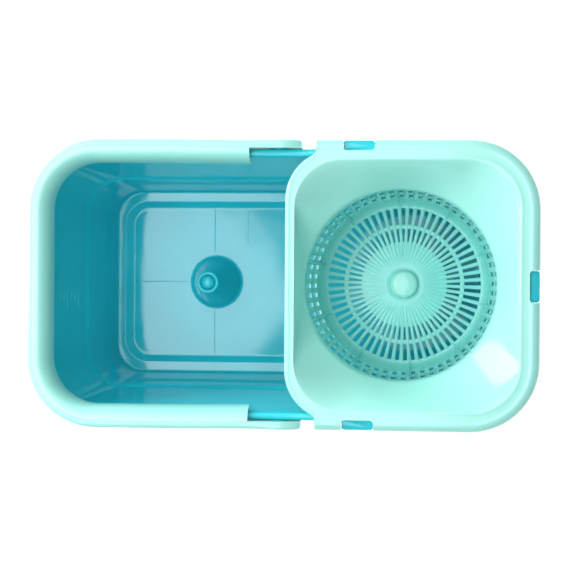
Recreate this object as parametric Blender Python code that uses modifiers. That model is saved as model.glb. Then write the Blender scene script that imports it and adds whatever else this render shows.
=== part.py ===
"""Spin mop bucket: a tub with a wash post, a spin basket on a spindle, a lift-off splash guard and a fold-down handle.

Frame: metres, +Z up, origin at the middle of the footprint on the floor. +X runs along the bucket from the
wash side to the spin side, Y runs across it.
"""
import math

import bmesh
import bpy
import mathutils

MM = 0.001

# ---- overall ----
HALF_LENGTH = 240.4          # handle's end on the left, splash guard's end on the right
HALF_WIDTH = 135.0
BOW = 1.2                    # the handle's arms spread this much between the pivots and the corners
HEIGHT = 250.0

# ---- tub ----
BASE_Z = 1.5                 # underside of the floor, above the feet
FLOOR_Z = 4.0
LEDGE_Z = 9.0
STEP_Z = 112.0               # crease half way up the wall
RIM_Z = 240.0
RIM_HX, RIM_HY = 233.5, 127.0
LIP_BOTTOM_Z = 216.0
WALL = 2.5
POST_X = -94.9
POST_TOP_Z = 69.4
AXIS_X = 111.0               # the basket's axis
COLUMN_TOP_Z = 80.0

# ---- spindle stack, from the column upwards ----
SPINDLE_R = 4.0
RUN_R = 4.1                  # running bore of the bushes
SPINDLE_Z = (50.3, 122.5)
THRUST_Z = (80.3, 81.8)
LOWER_BUSH_Z = (82.1, 84.1, 94.0)
HUB_Z = (84.4, 115.5, 117.5)
UPPER_BUSH_Z = (105.0, 115.8, 117.5)
TOP_WASHER_Z = (117.8, 118.8)
RING_Z = (119.1, 120.1)
HUB_R = (6.8, 12.0)
CAP_R = 13.8
CAP_TOP_Z = 126.5

# ---- basket ----
BASKET_RIM_R, BASKET_RIM_Z = 94.0, 196.0
BASKET_FLOOR_Z = 112.0
SLOTS = 60
INNER_SLOT_R = (42.7, 55.2)
OUTER_SLOT_R = (60.3, 76.4)
BASKET_WALL = 1.5

# ---- handle ----
PIVOT_X, PIVOT_Z = -2.5, 228.0
HANDLE_CORNER = 66.0
HANDLE_WALL = 2.2
HANDLE_WIDTH = 21.9
HANDLE_SKIRT_Z = 222.0
HANDLE_LIP_Z = 226.0
ARM_STEP_X = -29.0           # the channel's inner half stops here
ARM_R = 22.0                 # rounded end of each arm, about the pivot

# ---- splash guard ----
EAR_X = 33.8                 # end of the guard's outer skirt beside the handle's arm
GUARD_LEFT = 4.7
GUARD_FRONT = 126.0
GUARD_CORNER = 64.5
LIP_R, LIP_Z, COLLAR_Z = 90.1, 213.0, 198.5
GUARD_WALL = 2.0
HOOK_X = (58.7, 87.5)
WINDOW_X = (58.2, 88.0)
HOOK_HALF_Y, WINDOW_HALF_Y = 14.4, 14.9

# ---- drain ----
DRAIN_Z = 26.0
DRAIN_FACE_X = 209.0

CORNER = 7                   # facets in a quarter turn of a tub corner


# ------------------------------------------------------------------ scene
for old in list(bpy.data.objects):
    bpy.data.objects.remove(old, do_unlink=True)
parts = bpy.data.collections.new("spin_mop_bucket")
cutters = bpy.data.collections.new("cutters")
bpy.context.scene.collection.children.link(parts)
bpy.context.scene.collection.children.link(cutters)


def material(name, colour, roughness, metallic=0.0):
    m = bpy.data.materials.new(name)
    m.use_nodes = True
    bsdf = m.node_tree.nodes["Principled BSDF"]
    bsdf.inputs["Base Color"].default_value = (*colour, 1.0)
    bsdf.inputs["Roughness"].default_value = roughness
    bsdf.inputs["Metallic"].default_value = metallic
    m.diffuse_color = (*colour, 1.0)
    return m


TURQUOISE = material("turquoise_plastic", (0.014, 0.27, 0.35), 0.25)
MINT = material("mint_plastic", (0.42, 0.86, 0.78), 0.3)
STEEL = material("steel", (0.55, 0.56, 0.58), 0.3, 1.0)
NYLON = material("nylon", (0.75, 0.75, 0.70), 0.5)
RUBBER = material("rubber", (0.10, 0.11, 0.12), 0.8)


def add(name, mesh, mat=None, origin=(0, 0, 0)):
    """Put a mesh given in world millimetres into the scene with its origin at `origin` (mm)."""
    o = mathutils.Vector(origin)
    for v in mesh.vertices:
        v.co = (v.co - o) * MM
    obj = bpy.data.objects.new(name, mesh)
    obj.location = o * MM
    if mat is None:
        cutters.objects.link(obj)
        obj.hide_render = True
        obj.display_type = "WIRE"
    else:
        mesh.materials.append(mat)
        parts.objects.link(obj)
    return obj


def smooth(obj, angle=35.0):
    obj.data.shade_smooth()
    obj.data.set_sharp_from_angle(angle=math.radians(angle))


def turned(name, profile, mat=None, centre=(0, 0, 0), axis="Z", steps=32):
    """A turned piece: profile is (radius, height) in mm, closed round the section, about `axis` through `centre`."""
    area = sum(a[0] * b[1] - b[0] * a[1] for a, b in zip(profile, profile[1:] + profile[:1]))
    if area > 0:
        profile = profile[::-1]
    mesh = bpy.data.meshes.new(name)
    count = len(profile)
    on_axis = [i for i, p in enumerate(profile) if p[0] < 1e-6]
    edges = [(i, (i + 1) % count) for i in range(count)
             if not (i in on_axis and (i + 1) % count in on_axis)]
    mesh.from_pydata([(r * MM, 0, h * MM) for r, h in profile], edges, [])
    obj = bpy.data.objects.new(name, mesh)
    obj.location = [c * MM for c in centre]
    if axis == "X":
        obj.rotation_euler = (0, math.radians(90), 0)
    elif axis == "Y":
        obj.rotation_euler = (math.radians(-90), 0, 0)
    elif axis == "-Y":
        obj.rotation_euler = (math.radians(90), 0, 0)
    screw = obj.modifiers.new("Screw", "SCREW")
    screw.axis = "Z"
    screw.steps = screw.render_steps = steps
    screw.use_merge_vertices = True
    screw.merge_threshold = 0.00001
    screw.use_smooth_shade = False
    if mat is None:
        cutters.objects.link(obj)
        obj.hide_render = True
        obj.display_type = "WIRE"
    else:
        mesh.materials.append(mat)
        parts.objects.link(obj)
    return obj


def box(name, low, high):
    """A box cutter or rib from the cube primitive."""
    bm = bmesh.new()
    bmesh.ops.create_cube(bm, size=1.0)
    size = [h - l for l, h in zip(low, high)]
    mid = [(h + l) / 2 for l, h in zip(low, high)]
    for v in bm.verts:
        v.co = mathutils.Vector([c * s + m for c, s, m in zip(v.co, size, mid)])
    mesh = bpy.data.meshes.new(name)
    bm.to_mesh(mesh)
    bm.free()
    return add(name, mesh)


def combine(obj, other, operation):
    mod = obj.modifiers.new(operation.title() + "_" + other.name, "BOOLEAN")
    mod.operation = operation
    # the long chains on the tub and the handle lose edges with EXACT where bores open in flat faces
    mod.solver = "MANIFOLD" if obj.name in ("tub", "handle") else "EXACT"
    mod.object = other
    return mod


def union(obj, other):
    combine(obj, other, "UNION")


def cut(obj, other):
    combine(obj, other, "DIFFERENCE")


def loft(name, rings, mat=None, origin=(0, 0, 0), caps=True, closed_rows=False):
    """Skin through closed rings of equal point count (mm); closed_rows joins the last ring to the first."""
    bm = bmesh.new()
    rows = [[bm.verts.new(p) for p in ring] for ring in rings]
    count = len(rows[0])
    for a, b in zip(rows, rows[1:] + (rows[:1] if closed_rows else [])):
        for i in range(count):
            j = (i + 1) % count
            bm.faces.new((a[i], a[j], b[j], b[i]))
    if caps:
        bm.faces.new(rows[0][::-1])
        bm.faces.new(rows[-1])
    bmesh.ops.recalc_face_normals(bm, faces=bm.faces)
    mesh = bpy.data.meshes.new(name)
    bm.to_mesh(mesh)
    bm.free()
    return add(name, mesh, mat, origin)


def outline(hx, hy, r, z, n=CORNER):
    """Rounded rectangle about the origin at height z, anticlockwise from above."""
    pts = []
    for sx, sy, start in ((1, 1, 0), (-1, 1, 90), (-1, -1, 180), (1, -1, 270)):
        for k in range(n + 1):
            a = math.radians(start + 90 * k / n)
            pts.append((sx * (hx - r) + r * math.cos(a), sy * (hy - r) + r * math.sin(a), z))
    return pts


# ------------------------------------------------------------------ tub
tub = loft("tub", [outline(*ring) for ring in (
    (187.0, 81.0, 23, BASE_Z),               # underside, outside, up
    (193.9, 87.9, 26, LEDGE_Z - WALL),
    (203.0, 97.5, 29, LEDGE_Z - WALL),
    (205.0, 99.4, 31, LEDGE_Z),
    (213.6, 106.7, 38, STEP_Z - 2.5),
    (216.2, 109.4, 40, STEP_Z + 1.0),
    (227.3, 121.1, 46.5, 233.0),             # inside the rolled lip
    (228.3, 122.1, 47.5, 234.8),
    (230.2, 123.8, 49.0, 234.8),
    (231.2, 124.7, 49.7, 233.0),
    (231.2, 124.7, 49.7, LIP_BOTTOM_Z),
    (RIM_HX, RIM_HY, 52, LIP_BOTTOM_Z),
    (RIM_HX, RIM_HY, 52, RIM_Z - 3.6),       # over the rim
    (RIM_HX - 1.6, RIM_HY - 1.6, 50.4, RIM_Z - 0.9),
    (RIM_HX - 4.2, RIM_HY - 4.2, 47.8, RIM_Z),
    (RIM_HX - 6.9, RIM_HY - 6.9, 45.1, RIM_Z - 0.9),
    (225.2, 119.0, 44, RIM_Z - 3.6),         # inside, down
    (213.7, 106.9, 37.5, STEP_Z + 2.0),
    (211.1, 104.2, 35.5, STEP_Z - 1.0),
    (203.4, 97.6, 29.2, 13.0),
    (201.8, 96.2, 28.0, LEDGE_Z),
    (192.9, 85.8, 23.4, LEDGE_Z),
    (185.7, 79.9, 20, FLOOR_Z),
)], TURQUOISE)

union(tub, turned("wash_post", [
    (0, 2.6), (28.4, 2.6), (27.2, 4.8), (25.8, 8.0), (11.9, 66.5), (11.4, POST_TOP_Z),
    (8.8, POST_TOP_Z), (8.6, 66.9), (3.2, 66.9), (3.2, 59.0), (0, 59.0)], centre=(POST_X, 0, 0), steps=24))
union(tub, turned("basket_column", [
    (0, 2.6), (29.5, 2.6), (27.6, 5.0), (25.6, 9.0), (11.0, COLUMN_TOP_Z),
    (SPINDLE_R + 0.3, COLUMN_TOP_Z), (SPINDLE_R + 0.3, 50.0), (0, 50.0)],
    centre=(AXIS_X, 0, 0), steps=24))
cut(tub, turned("post_core", [
    (0, -5), (23.0, -5), (22.6, 4), (8.2, 55), (0, 55)], centre=(POST_X, 0, 0), steps=20))
cut(tub, turned("column_core", [
    (0, -5), (23.0, -5), (22.6, 4), (12.0, 46), (0, 46)], centre=(AXIS_X, 0, 0), steps=20))

for side, axis in ((1, "Y"), (-1, "-Y")):
    tag = "back" if side > 0 else "front"
    union(tub, turned("trunnion_" + tag, [
        (0, 119.8), (8.6, 119.8), (8.6, 129.2), (6.0, 129.2), (6.0, 132.7), (0, 132.7)],
        centre=(PIVOT_X, 0, PIVOT_Z), axis=axis, steps=20))
    cut(tub, turned("trunnion_bore_" + tag, [
        (0, 122.3), (3.2, 122.3), (3.2, 140), (0, 140)], centre=(PIVOT_X, 0, PIVOT_Z), axis=axis, steps=12))
    union(tub, box("hook_" + tag, (HOOK_X[0], min(side * 125.5, side * 134.5), 229.0),
                   (HOOK_X[1], max(side * 125.5, side * 134.5), 246.0)))
union(tub, box("hook_end", (232.0, -HOOK_HALF_Y, 229.0), (239.9, HOOK_HALF_Y, 246.0)))
cut(tub, turned("drain_hole", [
    (0, 190), (9.7, 190), (9.7, 220), (0, 220)], centre=(0, 0, DRAIN_Z), axis="X", steps=20))
union(tub, turned("drain_boss", [
    (8.8, 205.25), (13.0, 205.25), (13.0, DRAIN_FACE_X), (8.8, DRAIN_FACE_X)],
    centre=(0, 0, DRAIN_Z), axis="X", steps=20))

# ------------------------------------------------------------------ feet
for sx, end in ((-1, "left"), (1, "right")):
    for sy, side in ((-1, "front"), (1, "back")):
        at = (sx * 160.0, sy * 56.0, 0)
        cut(tub, turned("foot_socket_%s_%s" % (side, end), [
            (0, -5), (3.8, -5), (3.8, 2.9), (0, 2.9)], centre=at, steps=10))
        foot = turned("foot_%s_%s" % (side, end), [
            (0, 0), (10.4, 0), (11.0, 0.5), (11.0, 1.2), (3.5, 1.2), (3.5, 2.6), (0, 2.6)],
            RUBBER, at, steps=16)
smooth(tub)

# ------------------------------------------------------------------ wash post's tip
turned("post_tip", [
    (0, 60.0), (2.9, 60.0), (2.9, 67.2), (6.6, 67.2), (6.5, 68.6), (5.2, 70.3), (3.0, 71.3), (0, 71.7)],
    TURQUOISE, (POST_X, 0, 0), steps=16)

# ------------------------------------------------------------------ spindle and its hardware
turned("spindle", [
    (0, SPINDLE_Z[0]), (SPINDLE_R - 0.5, SPINDLE_Z[0]), (SPINDLE_R, SPINDLE_Z[0] + 0.5),
    (SPINDLE_R, RING_Z[0] - 0.2), (3.2, RING_Z[0] - 0.2), (3.2, RING_Z[1] + 0.2), (SPINDLE_R, RING_Z[1] + 0.2),
    (SPINDLE_R, SPINDLE_Z[1] - 0.5), (SPINDLE_R - 0.5, SPINDLE_Z[1]), (0, SPINDLE_Z[1])],
    STEEL, (AXIS_X, 0, 0), steps=24)
turned("thrust_washer", [
    (4.4, THRUST_Z[0]), (10.0, THRUST_Z[0]), (10.0, THRUST_Z[1]), (4.4, THRUST_Z[1])],
    NYLON, (AXIS_X, 0, 0), steps=24)
turned("top_washer", [
    (4.4, TOP_WASHER_Z[0]), (8.5, TOP_WASHER_Z[0]), (8.5, TOP_WASHER_Z[1]), (4.4, TOP_WASHER_Z[1])],
    STEEL, (AXIS_X, 0, 0), steps=24)
ring = turned("retaining_ring", [
    (3.5, RING_Z[0]), (6.4, RING_Z[0]), (6.4, RING_Z[1]), (3.5, RING_Z[1])],
    STEEL, (AXIS_X, 0, 0), steps=24)
cut(ring, box("ring_gap", (AXIS_X, -1.7, RING_Z[0] - 1), (AXIS_X + 9, 1.7, RING_Z[1] + 1)))

# ------------------------------------------------------------------ basket
turned("lower_bush", [
    (RUN_R, LOWER_BUSH_Z[0]), (10.0, LOWER_BUSH_Z[0]), (10.0, LOWER_BUSH_Z[1]), (6.5, LOWER_BUSH_Z[1]),
    (6.5, LOWER_BUSH_Z[2]), (RUN_R, LOWER_BUSH_Z[2])], NYLON, (AXIS_X, 0, 0), steps=24)
turned("upper_bush", [
    (RUN_R, UPPER_BUSH_Z[0]), (6.5, UPPER_BUSH_Z[0]), (6.5, UPPER_BUSH_Z[1]), (9.0, UPPER_BUSH_Z[1]),
    (9.0, UPPER_BUSH_Z[2]), (RUN_R, UPPER_BUSH_Z[2])], NYLON, (AXIS_X, 0, 0), steps=24)
turned("hub_cap", [
    (12.3, 115.5), (CAP_R, 115.5), (CAP_R, 122.6), (12.9, 124.6), (9.6, 126.0), (5.0, CAP_TOP_Z), (0, CAP_TOP_Z),
    (0, 124.4), (9.0, 124.0), (11.2, 122.4), (11.2, 117.9), (12.3, 117.9)], MINT, (AXIS_X, 0, 0), steps=32)

# The basket's inner surface, from the rim down the wall and in to the hub; every other sector of the slotted
# bands is open, which makes the slots.
STATIONS = [
    (BASKET_RIM_R, BASKET_RIM_Z), (91.4, BASKET_RIM_Z - 0.6), (91.2, 182.0), (88.6, 168.0), (88.2, 152.0),
    (85.6, 138.0), (83.2, 115.4), (OUTER_SLOT_R[1], BASKET_FLOOR_Z),
    (OUTER_SLOT_R[0], BASKET_FLOOR_Z), (INNER_SLOT_R[1], BASKET_FLOOR_Z + 0.1),
    (INNER_SLOT_R[0], BASKET_FLOOR_Z + 0.6), (9.5, 115.0)]
SLOTTED = ((2, 3), (4, 5), (7, 8), (9, 10))      # station pairs that hold a row of slots


def slotted_shell():
    """Turned open surface with one slot and one rib per pitch; the rib is the wider of the two."""
    bm = bmesh.new()
    pitch = 2 * math.pi / SLOTS
    angles = []
    for k in range(SLOTS):
        mid = math.radians(-4.94) + pitch * k
        angles += [mid - pitch * 0.23, mid + pitch * 0.23]
    rows = []
    for r, z in STATIONS:
        rows.append([bm.verts.new((AXIS_X + r * math.cos(a), r * math.sin(a), z)) for a in angles])
    count = len(angles)
    for s in range(len(rows) - 1):
        for i in range(count):
            if i % 2 == 0 and (s, s + 1) in SLOTTED:
                continue
            j = (i + 1) % count
            bm.faces.new((rows[s][i], rows[s][j], rows[s + 1][j], rows[s + 1][i]))
    mesh = bpy.data.meshes.new("basket")
    bm.to_mesh(mesh)
    bm.free()
    return mesh


basket = add("basket", slotted_shell(), MINT, (AXIS_X, 0, BASKET_FLOOR_Z))
shell = basket.modifiers.new("Solidify", "SOLIDIFY")
shell.thickness = BASKET_WALL * MM
shell.offset = -1.0
shell.use_even_offset = True
union(basket, turned("basket_hub", [
    (HUB_R[0], HUB_Z[0]), (HUB_R[1] - 0.8, HUB_Z[0]), (HUB_R[1], HUB_Z[0] + 0.8), (HUB_R[1], HUB_Z[2]),
    (9.4, HUB_Z[2]), (9.4, HUB_Z[1]), (HUB_R[0], HUB_Z[1])], centre=(AXIS_X, 0, 0), steps=24))
smooth(basket)

# ------------------------------------------------------------------ handle
# Section of the channel: (distance in from the outer face, height), round the outside and back round the inside.
w, t = HANDLE_WIDTH, HANDLE_WALL
SECTION = [
    (0.0, HANDLE_SKIRT_Z), (0.0, 243.6), (0.8, 247.6), (3.2, 249.8), (8.0, HEIGHT), (12.2, 249.4), (16.0, 246.8),
    (19.2, 242.0), (21.1, 236.4), (w, 230.0), (w, HANDLE_LIP_Z), (w - t, HANDLE_LIP_Z), (w - t, 230.4), (18.9, 235.8),
    (17.2, 241.0), (14.6, 244.9), (11.2, 247.2), (7.8, HEIGHT - t), (4.4, 247.4), (2.7, 246.0), (t, 243.4),
    (t, HANDLE_SKIRT_Z)]


# The same section where the arm runs into its round end: the outer edge is squarer there.
END_SECTION = [
    (0.1, HANDLE_SKIRT_Z), (0.1, 246.8), (0.5, 248.8), (2.0, 249.9)] + SECTION[4:18] + [
    (3.9, 247.6), (2.7, 246.6), (t, 245.4), (t, HANDLE_SKIRT_Z)]


def handle_rings():
    big = HANDLE_CORNER
    cx, cy = -HALF_LENGTH + big, HALF_WIDTH + BOW - big
    near = [((PIVOT_X, cy - BOW), END_SECTION), ((ARM_STEP_X - 6.0, cy - BOW * 0.95), SECTION),
            ((-72.0, cy - BOW * 0.45), SECTION), ((-110.0, cy - BOW * 0.1), SECTION)]
    stations = [(at, 90.0, section) for at, section in near]
    for k in range(9):
        stations.append(((cx, cy), 90.0 + 11.25 * k, SECTION))
    for k in range(9):
        stations.append(((cx, -cy), 180.0 + 11.25 * k, SECTION))
    stations += [((x, -y), 270.0, section) for (x, y), section in near[::-1]]
    rings = []
    for (x, y), degrees, section in stations:
        a = math.radians(degrees)
        rings.append([(x + (big - s) * math.cos(a), y + (big - s) * math.sin(a), z) for s, z in section])
    return rings


handle = loft("handle", handle_rings(), MINT, (PIVOT_X, 0, PIVOT_Z))
cut(handle, box("arm_relief", (ARM_STEP_X, -127.9, 200), (30, 127.9, 270)))


def arm_end_outline(inset, y):
    """Outline of an arm's end about the pivot, in the XZ plane: a falling, square-shouldered top, round below."""
    r = ARM_R - 0.05 - inset
    pts = [(PIVOT_X + r * a, y, PIVOT_Z + r * b) for a, b in (
        (1.0, 0.0), (1.0, 0.60), (0.985, 0.68), (0.94, 0.735), (0.75, 0.832), (0.5, 0.926), (0.25, 0.982))]
    for k in range(19):
        a = math.radians(90.0 + 15.0 * k)
        if a < 2 * math.pi:
            pts.append((PIVOT_X + r * math.cos(a), y, PIVOT_Z + r * math.sin(a)))
    return pts


for side, axis in ((1, "Y"), (-1, "-Y")):
    tag = "back" if side > 0 else "front"
    union(handle, loft("arm_end_" + tag, [
        arm_end_outline(0.0, side * 127.6), arm_end_outline(0.0, side * 132.8), arm_end_outline(0.5, side * 134.2),
        arm_end_outline(1.6, side * 134.9)]))
    # the arm's inner wall beside the rim, over the trunnion, and the web that closes the channel at the step
    wall = [(ARM_STEP_X - 1.6, 222.5), (PIVOT_X - 11.0, 222.5), (PIVOT_X - 11.0, PIVOT_Z + 10.2),
            (PIVOT_X + 2.5, PIVOT_Z + 10.2), (PIVOT_X + 2.5, 249.2), (ARM_STEP_X - 1.6, 249.2)]
    union(handle, loft("arm_wall_" + tag, [[(x, side * y, z) for x, z in wall] for y in (127.6, 129.4)]))
    union(handle, box("arm_web_" + tag, (ARM_STEP_X - 2.1, min(side * 119.9, side * 128.8), RIM_Z + 0.4),
                      (ARM_STEP_X - 0.3, max(side * 119.9, side * 128.8), 246.4)))
    cut(handle, turned("arm_pocket_" + tag, [
        (0, 120), (9.4, 120), (9.4, 129.5), (0, 129.5)], centre=(PIVOT_X, 0, PIVOT_Z), axis=axis, steps=20))
    cut(handle, turned("arm_hole_" + tag, [
        (0, 120), (6.3, 120), (6.3, 132.6), (9.8, 132.6), (9.8, 140), (0, 140)],
        centre=(PIVOT_X, 0, PIVOT_Z), axis=axis, steps=16))
    union(handle, box("handle_rib_" + tag, (-101.5, min(side * 121.8, side * 134.4), RIM_Z + 0.3),
                      (-98.5, max(side * 121.8, side * 134.4), 246.2)))
    union(handle, box("handle_end_rib_" + tag, (-239.0, side * 45 - 1.5, RIM_Z + 0.3),
                      (-225.8, side * 45 + 1.5, 246.2)))
    turned("handle_pivot_cap_" + tag, [
        (0, 122.6), (2.9, 122.6), (2.9, 133.0), (9.4, 133.0), (9.4, 134.2), (8.4, 134.8), (0, 134.9)],
        MINT, (PIVOT_X, 0, PIVOT_Z), axis=axis, steps=16)
smooth(handle)


# ------------------------------------------------------------------ splash guard
def guard_ring(right, front, right_r, z, left, left_front, left_r, left_z, mid_y, mid_z, ear_x=EAR_X, n=7):
    """One ring of the guard's skin: right-hand corners, the ears at EAR_X and the left-hand corners."""
    quarter = []
    for k in range(n + 1):
        a = math.radians(90.0 * k / n)
        quarter.append((right - right_r + right_r * math.cos(a), front - right_r + right_r * math.sin(a), z))
    for k in range(1, 4):
        quarter.append((right - right_r + (ear_x - right + right_r) * k / 4, front, z))
    cx, cy = left + left_r, left_front - left_r
    start = math.acos((ear_x - 5.6 - cx) / left_r)
    arc = (ear_x - 5.6, cy + left_r * math.sin(start))
    quarter.append((ear_x, front, z))
    quarter.append((ear_x - 0.7, mid_y, mid_z))
    bend, top = (ear_x - 1.2, arc[1] + 2.0), (ear_x - 1.0, arc[1] + 6.4)
    for t in (0.34, 0.68):                       # hollow corner between the ear and the left-hand arc
        quarter.append(tuple(a * t * t + b * 2 * t * (1 - t) + c * (1 - t) ** 2 for a, b, c in zip(arc, bend, top))
                       + (mid_z + (left_z - mid_z) * t,))
    for k in range(n + 1):
        a = start + (math.pi - start) * k / n
        quarter.append((cx + left_r * math.cos(a), cy + left_r * math.sin(a), left_z))
    return quarter + [(x, -y, zz) for x, y, zz in reversed(quarter)]


def crest_ring(x0, x1, hy, r, z, n=7):
    quarter = []
    for k in range(n + 1):
        a = math.radians(90.0 * k / n)
        quarter.append((x1 - r + r * math.cos(a), hy - r + r * math.sin(a), z))
    for k in range(1, 4):
        quarter.append((x1 - r + (72.0 - x1 + r) * k / 4, hy, z))
    quarter.append((72.0, hy, z))
    for degrees in [92.0, 99.0, 106.0] + [113.0 + 67.0 * k / n for k in range(n + 1)]:
        a = math.radians(degrees)
        quarter.append((x0 + r + r * math.cos(a), hy - r + r * math.sin(a), z))
    return quarter + [(x, -y, zz) for x, y, zz in reversed(quarter)]


def circle_ring(r, z, n=7):
    angles = ([4 + 56.0 * k / n for k in range(n + 1)] + [71.5, 83.0, 94.5, 106.0, 112.0, 115.5, 119.0]
              + [123 + 53.0 * k / n for k in range(n + 1)])
    quarter = [(AXIS_X + r * math.cos(math.radians(a)), r * math.sin(math.radians(a)), z) for a in angles]
    return quarter + [(x, -y, zz) for x, y, zz in reversed(quarter)]


def between(a, b, t, z):
    return [(p[0] + (q[0] - p[0]) * t, p[1] + (q[1] - p[1]) * t, z) for p, q in zip(a, b)]


g = GUARD_WALL
crest = crest_ring(13.6, 222.7, 117.0, 45.0, 249.4)
under = crest_ring(13.6 - 0.6, 222.7 + 0.6, 117.6, 45.6, 249.4 - g)
lip, collar = circle_ring(LIP_R, LIP_Z), circle_ring(LIP_R + g, LIP_Z - 0.8)
guard = loft("splash_guard", [
    guard_ring(HALF_LENGTH, HALF_WIDTH, GUARD_CORNER, HANDLE_SKIRT_Z, GUARD_LEFT, GUARD_FRONT, 46.5, 241.6, 128.8, 241.2),
    guard_ring(HALF_LENGTH, HALF_WIDTH, GUARD_CORNER, 243.6, GUARD_LEFT, GUARD_FRONT, 46.5, 245.6, 127.9, 245.0),
    guard_ring(HALF_LENGTH - 1.6, 133.4, GUARD_CORNER - 1.6, 247.6, 5.2, 125.5, 46.0, 248.0, 127.2, 247.8),
    guard_ring(HALF_LENGTH - 5.8, 129.2, GUARD_CORNER - 5.7, HEIGHT - 0.4, 7.0, 123.9, 44.4, HEIGHT - 0.4, 126.4, HEIGHT - 0.4),
    crest,
    between(crest, lip, 0.14, 246.4),
    between(crest, lip, 0.55, 230.3),
    lip,
    circle_ring(LIP_R - 0.2, COLLAR_Z),
    circle_ring(LIP_R - 0.2 + g, COLLAR_Z),
    collar,
    between(under, collar, 0.55, 229.2),
    between(under, collar, 0.14, 244.6),
    under,
    guard_ring(HALF_LENGTH - 6.6, 128.4, GUARD_CORNER - 6.5, HEIGHT - 0.4 - g, 8.0, 122.9, 43.4, HEIGHT - 0.4 - g, 126.4,
               HEIGHT - 0.4 - g, ear_x=EAR_X + g),
    guard_ring(HALF_LENGTH - 3.3, 131.7, GUARD_CORNER - 3.3, 246.2, 6.9, 123.9, 44.4, 246.6, 127.2, 246.2, ear_x=EAR_X + g),
    guard_ring(HALF_LENGTH - g, HALF_WIDTH - g, GUARD_CORNER - g, 243.2, GUARD_LEFT + 1.9, GUARD_FRONT - 1.9, 44.6, 245.2,
               127.9, 244.2, ear_x=EAR_X + g),
    guard_ring(HALF_LENGTH - g, HALF_WIDTH - g, GUARD_CORNER - g, HANDLE_SKIRT_Z, GUARD_LEFT + 1.9, GUARD_FRONT - 1.9, 44.6,
               241.6, 128.8, 241.2, ear_x=EAR_X + g),
], MINT, caps=False, closed_rows=True)
for side in (1, -1):
    tag = "back" if side > 0 else "front"
    cut(guard, box("window_" + tag, (WINDOW_X[0], min(side * 125.3, side * 150), 210),
                   (WINDOW_X[1], max(side * 125.3, side * 150), 262)))
    for k, x in enumerate((120.0, 178.0)):
        union(guard, box("guard_rib_%s_%d" % (tag, k), (x - 1.5, min(side * 119.5, side * 133.6), RIM_Z + 0.3),
                         (x + 1.5, max(side * 119.5, side * 133.6), 247.6)))
    union(guard, box("guard_end_rib_" + tag, (226.0, side * 48 - 1.5, RIM_Z + 0.3), (239.0, side * 48 + 1.5, 247.6)))
cut(guard, box("window_end", (231.0, -WINDOW_HALF_Y, 210), (256, WINDOW_HALF_Y, 262)))
smooth(guard)

# ------------------------------------------------------------------ drain plug
turned("drain_plug", [
    (0, 201.0), (7.8, 201.0), (8.4, 201.8), (8.4, DRAIN_FACE_X + 2.6), (13.5, DRAIN_FACE_X + 2.6),
    (13.5, DRAIN_FACE_X + 5.6), (12.2, DRAIN_FACE_X + 7.4), (0, DRAIN_FACE_X + 8.0)],
    TURQUOISE, (0, 0, DRAIN_Z), axis="X", steps=28)
turned("drain_seal", [
    (8.8, DRAIN_FACE_X + 0.3), (12.6, DRAIN_FACE_X + 0.3), (12.6, DRAIN_FACE_X + 2.3), (8.8, DRAIN_FACE_X + 2.3)],
    RUBBER, (0, 0, DRAIN_Z), axis="X", steps=28)

for obj in parts.objects:
    if obj.name not in ("tub", "basket", "handle", "splash_guard"):
        obj.data.shade_smooth()
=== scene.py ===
"""Looks of the spin mop bucket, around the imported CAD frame."""
import math

import bmesh
import bpy
import numpy as np
from mathutils import Euler, Matrix, Vector


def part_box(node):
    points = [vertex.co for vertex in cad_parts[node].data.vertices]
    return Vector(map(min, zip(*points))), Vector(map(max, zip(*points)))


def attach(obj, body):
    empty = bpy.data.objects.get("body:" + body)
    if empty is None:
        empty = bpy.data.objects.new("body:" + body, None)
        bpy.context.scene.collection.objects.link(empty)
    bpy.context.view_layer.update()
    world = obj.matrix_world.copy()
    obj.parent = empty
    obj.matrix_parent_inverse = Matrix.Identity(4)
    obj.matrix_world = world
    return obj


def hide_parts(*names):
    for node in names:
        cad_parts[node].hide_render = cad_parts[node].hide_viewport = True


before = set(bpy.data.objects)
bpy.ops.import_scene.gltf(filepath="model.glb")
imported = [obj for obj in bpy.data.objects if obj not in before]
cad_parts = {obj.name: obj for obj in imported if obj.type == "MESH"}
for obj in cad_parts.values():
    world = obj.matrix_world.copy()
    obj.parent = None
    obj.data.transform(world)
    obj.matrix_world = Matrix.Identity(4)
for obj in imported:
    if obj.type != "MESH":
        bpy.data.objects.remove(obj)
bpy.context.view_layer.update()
scene = bpy.context.scene
MM = 0.001


def mid(node):
    low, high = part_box(node)
    return (Vector(low) + Vector(high)) / 2


# ------------------------------------------------------------------ camera
cam_data = bpy.data.cameras.new("camera")
cam_data.sensor_width = 36.0
cam_data.lens = 36.0 * 1671.247 / 570.0
cam_data.clip_start, cam_data.clip_end = 0.05, 50.0
cam = bpy.data.objects.new("camera", cam_data)
scene.collection.objects.link(cam)
cam.matrix_world = (Matrix.Translation((0.171074, 0.01684, 1.791797))
                    @ Matrix.Rotation(0.007, 4, "Z") @ Matrix.Rotation(0.107, 4, "Y") @ Matrix.Rotation(-0.0102, 4, "X"))
scene.camera = cam
scene.view_settings.view_transform = "Standard"
scene.view_settings.look = "None"

# ------------------------------------------------------------------ dimensions shared with the CAD, in mm
tub_low, tub_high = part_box("tub")
BASKET = mid("basket")
AX = BASKET.x / MM                                   # basket axis, X
POST_X = mid("post_tip").x / MM
HL, HW, H = 240.4, 135.0, 250.0
BOW = 1.2                                            # spread of the handle's arms towards the corners
RIM_HX, RIM_HY, RIM_Z = 233.5, 127.0, 240.0
PIVOT_X, PIVOT_Z = mid("handle_pivot_cap_back").x / MM, 228.0
STEP_Z, LEDGE_Z, FLOOR_Z, BASE_Z = 112.0, 9.0, 4.0, 1.5
LIP_R, LIP_Z, COLLAR_Z = 90.1, 213.0, 198.5
EAR_X = 33.8


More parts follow.
